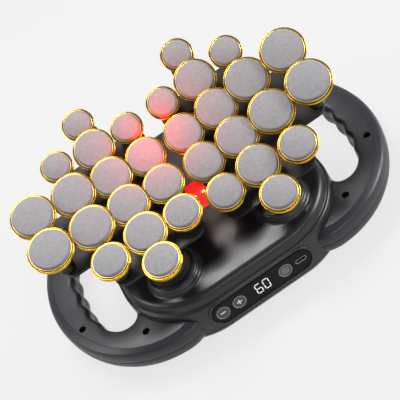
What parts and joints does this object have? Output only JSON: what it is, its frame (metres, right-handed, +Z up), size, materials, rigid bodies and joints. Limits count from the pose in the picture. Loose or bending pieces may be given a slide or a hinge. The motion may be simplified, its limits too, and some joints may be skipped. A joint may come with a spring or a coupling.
{
  "type": "handheld deep tissue massager",
  "caption": "Two-handled massager whose two groups of round padded heads rock on pistons over a low motor housing.",
  "frame": {"origin": "middle of the object on the surface it stands on", "axes": "+X along the two handles, +Y away from the control strip, +Z up"},
  "size_m": [0.362, 0.234, 0.1567],
  "materials": {
    "charcoal_shell": "satin",
    "gloss_cover": "gloss",
    "black_plastic": "matte",
    "black_gloss": "gloss",
    "gold_plate": "polished",
    "pad_foam": "matte",
    "black_rubber": "matte",
    "bright_steel": "satin",
    "screw_black": "satin",
    "bronze": "satin",
    "grey_nylon": "matte",
    "key_grey": "satin",
    "red_window": "gloss",
    "display_glass": "gloss",
    "board_green": "satin",
    "white_plastic": "matte",
    "cell_blue": "gloss"
  },
  "bodies": {
    "housing": {"bottom_housing": "charcoal_shell", "top_cover": "gloss_cover", "left_handle_cover": "charcoal_shell", "right_handle_cover": "charcoal_shell", "handle_screws": "screw_black", "housing_screws": "bright_steel", "rubber_feet": "black_rubber", "control_strip": "black_gloss", "display_window": "display_glass", "display_module": "black_plastic", "control_board": "board_green", "key_switches": "white_plastic", "charging_port": "bright_steel", "lamp_window": "red_window", "lamp_board": "white_plastic", "left_front_boot": "black_rubber", "left_rear_boot": "black_rubber", "right_front_boot": "black_rubber", "right_rear_boot": "black_rubber", "guide_plate": "grey_nylon", "guide_bushes": "bronze", "drive_frame": "grey_nylon", "frame_screws": "bright_steel", "shaft_bearings": "bright_steel", "motor": "bright_steel", "motor_strap": "bright_steel", "drive_belt": "black_rubber", "timing_belt": "black_rubber", "battery_cells": "cell_blue", "battery_tray": "black_plastic", "main_board": "board_green"},
    "left_front_piston_body": {"left_front_piston": "bright_steel", "left_front_yoke": "grey_nylon"},
    "left_rear_piston_body": {"left_rear_piston": "bright_steel", "left_rear_yoke": "grey_nylon", "left_rear_pin": "bright_steel"},
    "right_front_piston_body": {"right_front_piston": "bright_steel", "right_front_yoke": "grey_nylon"},
    "right_rear_piston_body": {"right_rear_piston": "bright_steel", "right_rear_yoke": "grey_nylon", "right_rear_pin": "bright_steel"},
    "left_group": {"left_carrier_plate": "black_plastic", "left_head_necks": "black_plastic", "left_head_cups": "gold_plate", "left_head_pads": "pad_foam", "left_front_pin": "bright_steel"},
    "right_group": {"right_carrier_plate": "black_plastic", "right_head_necks": "black_plastic", "right_head_cups": "gold_plate", "right_head_pads": "pad_foam", "right_front_pin": "bright_steel"},
    "front_crank": {"front_crankshaft": "bright_steel", "front_pulleys": "grey_nylon"},
    "rear_crank": {"rear_crankshaft": "bright_steel", "rear_pulley": "grey_nylon"},
    "rotor": {"motor_shaft": "bright_steel", "motor_pulley": "grey_nylon"},
    "minus_key_body": {"minus_key": "key_grey"},
    "plus_key_body": {"plus_key": "key_grey"},
    "mode_key_body": {"mode_key": "key_grey"}
  },
  "joints": [
    {"name": "left_front_piston_slide", "type": "slide", "parent": "housing", "child": "left_front_piston_body", "axis": [0, 0, 1], "range_m": [-0.008, 0], "deforming": ["left_front_boot"]},
    {"name": "left_rear_piston_slide", "type": "slide", "parent": "housing", "child": "left_rear_piston_body", "axis": [0, 0, 1], "range_m": [0, 0.008], "deforming": ["left_rear_boot"]},
    {"name": "right_front_piston_slide", "type": "slide", "parent": "housing", "child": "right_front_piston_body", "axis": [0, 0, 1], "range_m": [0, 0.008], "deforming": ["right_front_boot"]},
    {"name": "right_rear_piston_slide", "type": "slide", "parent": "housing", "child": "right_rear_piston_body", "axis": [0, 0, 1], "range_m": [-0.008, 0], "deforming": ["right_rear_boot"]},
    {"name": "left_group_tilt", "type": "hinge", "parent": "left_front_piston_body", "child": "left_group", "pos_m": [-0.0569, -0.069, 0.072], "axis": [1, 0, 0], "range_deg": [0, 6.12]},
    {"name": "right_group_tilt", "type": "hinge", "parent": "right_front_piston_body", "child": "right_group", "pos_m": [0.0569, -0.069, 0.064], "axis": [1, 0, 0], "range_deg": [-6.12, 0]},
    {"name": "front_crank_spin", "type": "hinge", "parent": "housing", "child": "front_crank", "pos_m": [0, -0.069, 0.026], "axis": [1, 0, 0], "continuous": true},
    {"name": "rear_crank_spin", "type": "hinge", "parent": "housing", "child": "rear_crank", "pos_m": [0, 0.069, 0.026], "axis": [1, 0, 0], "continuous": true},
    {"name": "rotor_spin", "type": "hinge", "parent": "housing", "child": "rotor", "pos_m": [0, -0.032, 0.026], "axis": [1, 0, 0], "continuous": true},
    {"name": "minus_key_press", "type": "slide", "parent": "housing", "child": "minus_key_body", "axis": [0, 0.9877, -0.1564], "range_m": [0, 0.0006], "stiffness_N_per_m": 400, "springref_m": -0.0004},
    {"name": "plus_key_press", "type": "slide", "parent": "housing", "child": "plus_key_body", "axis": [0, 0.9877, -0.1564], "range_m": [0, 0.0006], "stiffness_N_per_m": 400, "springref_m": -0.0004},
    {"name": "mode_key_press", "type": "slide", "parent": "housing", "child": "mode_key_body", "axis": [0, 0.9877, -0.1564], "range_m": [0, 0.0006], "stiffness_N_per_m": 400, "springref_m": -0.0004}
  ],
  "couplings": [
    {"joint": "left_rear_piston_slide", "follows": "left_front_piston_slide", "ratio": -1},
    {"joint": "right_front_piston_slide", "follows": "left_front_piston_slide", "ratio": -1},
    {"joint": "right_rear_piston_slide", "follows": "left_front_piston_slide", "ratio": 1},
    {"joint": "left_group_tilt", "follows": "left_front_piston_slide", "rad_per_m": -13.36},
    {"joint": "right_group_tilt", "follows": "left_front_piston_slide", "rad_per_m": 13.36},
    {"joint": "rear_crank_spin", "follows": "front_crank_spin", "ratio": 1},
    {"joint": "rotor_spin", "follows": "front_crank_spin", "ratio": 2}
  ]
}
